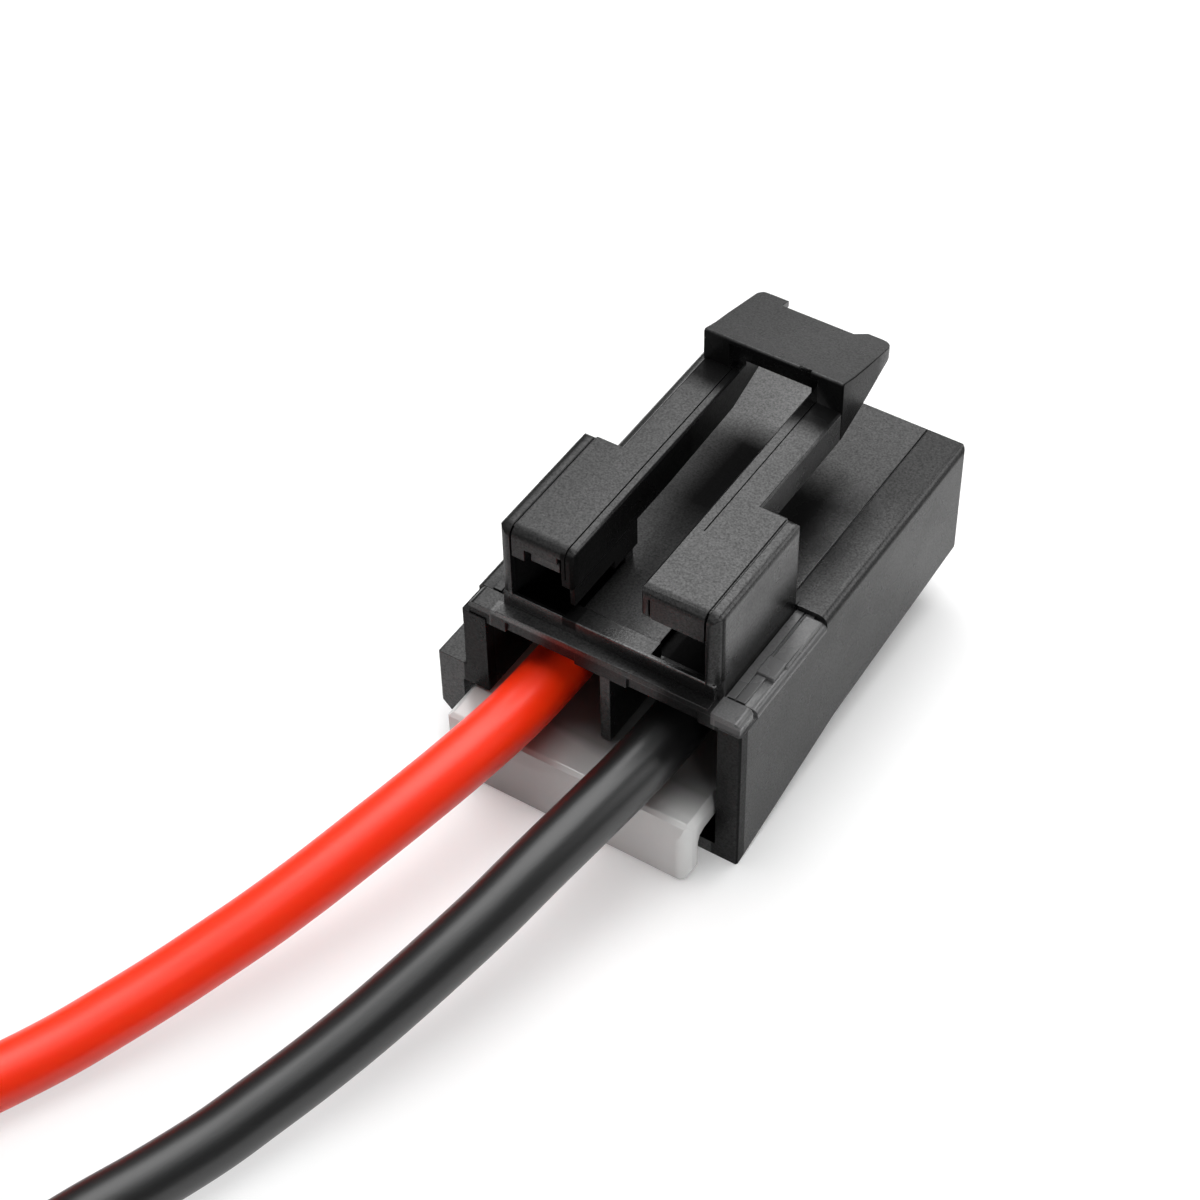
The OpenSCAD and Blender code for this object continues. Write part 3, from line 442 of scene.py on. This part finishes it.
def housing_material():
    """Black nylon: a fine eroded grain breaks up the gloss. The right ledge is paler. Painted shade makes
    the end faces, the outer walls and the deck less glossy than the plates on top; painted sheen brightens
    some edges and patches.
    Zones are in millimetres of the part."""
    material, shader, add = new_material("black_nylon")
    place = add("ShaderNodeTexCoord").outputs["Object"]
    axes = add("ShaderNodeSeparateXYZ", Vector=place).outputs
    x, y, z = axes["X"], axes["Y"], axes["Z"]
    beside = calculated(add, "ABSOLUTE", x)
    clouds = noise(add, place, scale=260.0, detail=4.0)
    grain = noise(add, place, scale=7000.0, detail=3.0, roughness=0.6)

    def times(first, *others):
        """Product of all values."""
        for other in others:
            first = calculated(add, "MULTIPLY", first, other)
        return first

    def from_mm(value, start, end):
        """Edge of a zone: 0 at the start or before it, 1 at the end or beyond."""
        return ranged(add, value, start * MM, end * MM)

    def shade_and_sheen(amount, *zones):
        """Gloss factor for painted shade and sheen: 1 outside the zones, 1 - amount where all of them meet;
        a negative amount paints sheen.
        """
        return ranged(add, times(*zones), 0, 1, 1, 1 - amount)

    # Rear end: the walls' faces, the lip, the band above it and the guard boxes
    left_wall = times(from_mm(x, -7.5, -8), from_mm(z, 14, 14.2))
    right_wall = from_mm(x, 10.4, 10.48)
    wall_ends = times(from_mm(y, -14.15, -14.25), from_mm(beside, 8.5, 8.6), from_mm(x, -10.9, -10.8),
                      from_mm(z, 13.3, 13.2))
    lip_face = times(from_mm(y, -14.7, -14.75), from_mm(beside, 8.5, 8.4), from_mm(z, 12.2, 12.3),
                     from_mm(z, 13.42, 13.36))
    band_face = times(from_mm(y, -13.9, -14), from_mm(beside, 8.5, 8.4), from_mm(z, 13.45, 13.5),
                      from_mm(z, 14.95, 14.9))
    band_edge = times(from_mm(y, -13.9, -14), from_mm(z, 14.96, 15.02), from_mm(z, 15.2, 15.15))
    ledge = times(from_mm(x, 8.24, 8.28), from_mm(y, -4.2, -4.24), from_mm(z, 12.66, 12.7))
    guard_ends = times(from_mm(y, -13.3, -13.5), from_mm(z, 15.2, 15.4))
    guard_corner = times(from_mm(x, 7.98, 8.08), from_mm(y, -13.64, -13.56), from_mm(y, -13.2, -13.3),
                         from_mm(z, 15, 15.2), from_mm(z, 20.9, 20.7))
    guard_side = times(from_mm(x, 8.16, 8.2), from_mm(x, 8.28, 8.25), from_mm(z, 13.3, 13.4),
                       from_mm(y, -13.2, -13), from_mm(y, -3.8, -3.9))
    in_guard = times(from_mm(y, -13.7, -13.6), from_mm(y, -5.8, -5.9))
    guard_inside = times(from_mm(beside, 3.3, 3.4), from_mm(beside, 7.35, 7.25), from_mm(z, 18.7, 18.6),
                         in_guard)
    right_pocket = times(from_mm(x, 2.45, 2.5), from_mm(x, 7.35, 7.25), from_mm(z, 13.87, 13.82), in_guard)

    # Latch and deck: the crossbar's side, the arms and the deck below and beside them
    left_half = from_mm(x, 1, -6)
    bar_side = times(from_mm(x, 5.15, 5.25), from_mm(y, 6.2, 6.3), from_mm(z, 18.2, 18.4))
    arm_ends = times(from_mm(z, 20.9, 21), from_mm(beside, 5.5, 5.4), from_mm(y, 3, 4.6),
                     from_mm(y, 6.4, 6.3))
    left_strip = times(from_mm(x, -2.3, -2.45), from_mm(x, -3.5, -3.4), from_mm(z, 20.95, 20.8),
                       from_mm(z, 14.3, 14.5), from_mm(y, 3, 0))
    deck = times(from_mm(z, 14.1, 14), from_mm(z, 13.8, 13.84))
    left_deck = times(deck, from_mm(x, 1.2, -1))
    right_deck = times(deck, from_mm(x, -1, 1.2), from_mm(y, -4.2, -4.1))
    below_arms = times(from_mm(z, 15.2, 15.15), from_mm(beside, 5.5, 5.4))

    # Painted shade and sheen: gloss is lowered where reflections fall in shade and raised where they should
    # shine brighter.
    gloss = times(
        ranged(add, grain, 0.3, 0.7, *grain_gloss),
        shade_and_sheen(0.5, left_wall),
        shade_and_sheen(0.72, right_wall),
        shade_and_sheen(0.8, wall_ends),
        shade_and_sheen(0.6, lip_face),
        shade_and_sheen(0.5, band_face, from_mm(x, 0, 3)),
        shade_and_sheen(-1, band_face, from_mm(x, 0, -3)),
        shade_and_sheen(-0.8, band_edge),
        shade_and_sheen(0.5, guard_ends),
        shade_and_sheen(0.85, guard_corner),
        shade_and_sheen(-1.2, guard_side, from_mm(z, 15.2, 16.6), from_mm(z, 19.5, 17.5)),
        shade_and_sheen(0.9, guard_side, from_mm(z, 15.2, 13.9)),
        shade_and_sheen(0.8, guard_inside),
        shade_and_sheen(0.97, right_pocket),
        shade_and_sheen(0.34, left_half),
        shade_and_sheen(0.88, bar_side),
        shade_and_sheen(0.9, arm_ends),
        shade_and_sheen(0.9, left_strip),
        shade_and_sheen(0.96, left_deck, from_mm(x, -6.5, -2.5), from_mm(y, -4, 0.5), from_mm(y, 10, 7)),
        shade_and_sheen(-1.05, left_deck, from_mm(y, 6.5, 9.5)),
        shade_and_sheen(0.2, right_deck),
        shade_and_sheen(0.88, right_deck, from_mm(x, 6.2, 4.8), from_mm(y, 9, 4.6)),
        shade_and_sheen(-1.7, right_deck, from_mm(x, 5, 6.3), from_mm(x, 7.5, 7.42), from_mm(y, 7, 3.5)),
        shade_and_sheen(0.42, right_deck, from_mm(x, 7.42, 7.5), from_mm(y, 3, 8)))
    matt = calculated(add, "ADD", ranged(add, left_wall, 0, 1, 0, wall_roughness),
                      ranged(add, left_deck, 0, 1, 0, deck_roughness))
    relief = ranged(add, below_arms, 0, 1, *grain_relief)
    set_inputs(shader,
               Base_Color=between(add, ledge, black_nylon, pale_ledge_nylon),
               Roughness=calculated(add, "ADD", ranged(add, clouds, 0.3, 0.7, *cloud_roughness), matt),
               Normal=grained(add, grain, relief, grain_depth),
               Specular_IOR_Level=gloss)
    return material


housing = moulded("housing", "housing_skin", housing_round, housing_material())
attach(housing, "root")
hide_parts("housing")

# Table: a wide white sheet that shows as plain white, also in the gloss of the leads.
# It keeps the soft shadows that the connector and its leads throw, and they fade further out.
table_half = 3.0
table_albedo = 0.85
near_tone = 0.8
near_glow = 0.24
far_tone = 0.36
far_glow = 0.65
fade_start = 21 * MM
fade_end = 46 * MM


def seen_by_eye(add):
    """Output that is 1 for a ray from the camera, a reflection or a clear body, and 0 for lighting rays."""
    ray = add("ShaderNodeLightPath").outputs
    direct_or_glossy = calculated(add, "MAXIMUM", ray["Is Camera Ray"], ray["Is Glossy Ray"])
    return calculated(add, "MAXIMUM", direct_or_glossy, ray["Is Transmission Ray"])


def table_material():
    """White diffuse sheet; seen directly or in a reflection it also glows, up to plain white, and its
    shadows fade away from the connector. Lighting rays meet the plain sheet."""
    material, shader, add = new_material("white_table")
    seen = seen_by_eye(add)
    place = add("ShaderNodeTexCoord").outputs["Object"]
    away = add("ShaderNodeVectorMath", {"operation": "LENGTH"}, Vector=place).outputs["Value"]
    tone = ranged(add, away, fade_start, fade_end, near_tone, far_tone)
    glow = ranged(add, away, fade_start, fade_end, near_glow, far_glow)
    set_inputs(shader,
               Base_Color=ranged(add, seen, 0, 1, table_albedo, tone),
               Roughness=1.0,
               Specular_IOR_Level=0.0,
               Emission_Color=(1, 1, 1, 1),
               Emission_Strength=ranged(add, seen, 0, 1, 0.0, glow))
    return material


table_corners = table_half * np.array([[-1, -1, 0], [1, -1, 0], [1, 1, 0], [-1, 1, 0]], float)
table = new_piece("table", table_corners, np.array([[0, 1, 2, 3]]), table_material())

# Light: a dim even room, one soft lamp overhead a little behind the connector, and weak ones around.
# Each has its power, size and place. Fills only light surfaces; the others show in gloss, and of them
# the back panel also lights.
room_level = 0.12
overhead_lamp = (4.1, 0.62, (-0.05, 0.23, 0.55))
top_fill = (4.1, 0.5, (-0.02, 0.12, 0.58))
left_fill = (1.5, 0.4, (-0.5, 0.2, 0.42))
front_fill = (8.0, 0.4, (1.28, -0.88, 0.22))
back_panel = (0.28, 0.3, (-0.23, 0.5, 0.24))
edge_panel = (5.0, 1.1, (-0.1, -0.48, 0.62))
side_panel = (2.6, 0.6, (0.75, 0.6, 0.45))

scene = bpy.context.scene
scene.view_settings.view_transform = "Standard"
room = bpy.data.worlds.new("room")
scene.world = room
room.use_nodes = True
set_inputs(room.node_tree.nodes["Background"], Color=(1, 1, 1, 1), Strength=room_level)


def soft_lamp(name, power, size, place, lights, in_gloss):
    """Square lamp at a place, turned to the origin; it lights surfaces, shows in their gloss, or both."""
    data = bpy.data.lights.new(name, "AREA")
    data.size = size
    data.energy = power
    lamp = bpy.data.objects.new(name, data)
    turned = (-Vector(place)).to_track_quat("-Z", "Y").to_matrix().to_4x4()
    lamp.matrix_world = Matrix.Translation(place) @ turned
    lamp.visible_diffuse = lights
    lamp.visible_glossy = in_gloss
    scene.collection.objects.link(lamp)


soft_lamp("overhead_lamp", *overhead_lamp, lights=False, in_gloss=True)
soft_lamp("top_fill", *top_fill, lights=True, in_gloss=False)
soft_lamp("left_fill", *left_fill, lights=True, in_gloss=False)
soft_lamp("front_fill", *front_fill, lights=True, in_gloss=False)
soft_lamp("back_panel", *back_panel, lights=True, in_gloss=True)
soft_lamp("edge_panel", *edge_panel, lights=False, in_gloss=True)
soft_lamp("side_panel", *side_panel, lights=False, in_gloss=True)
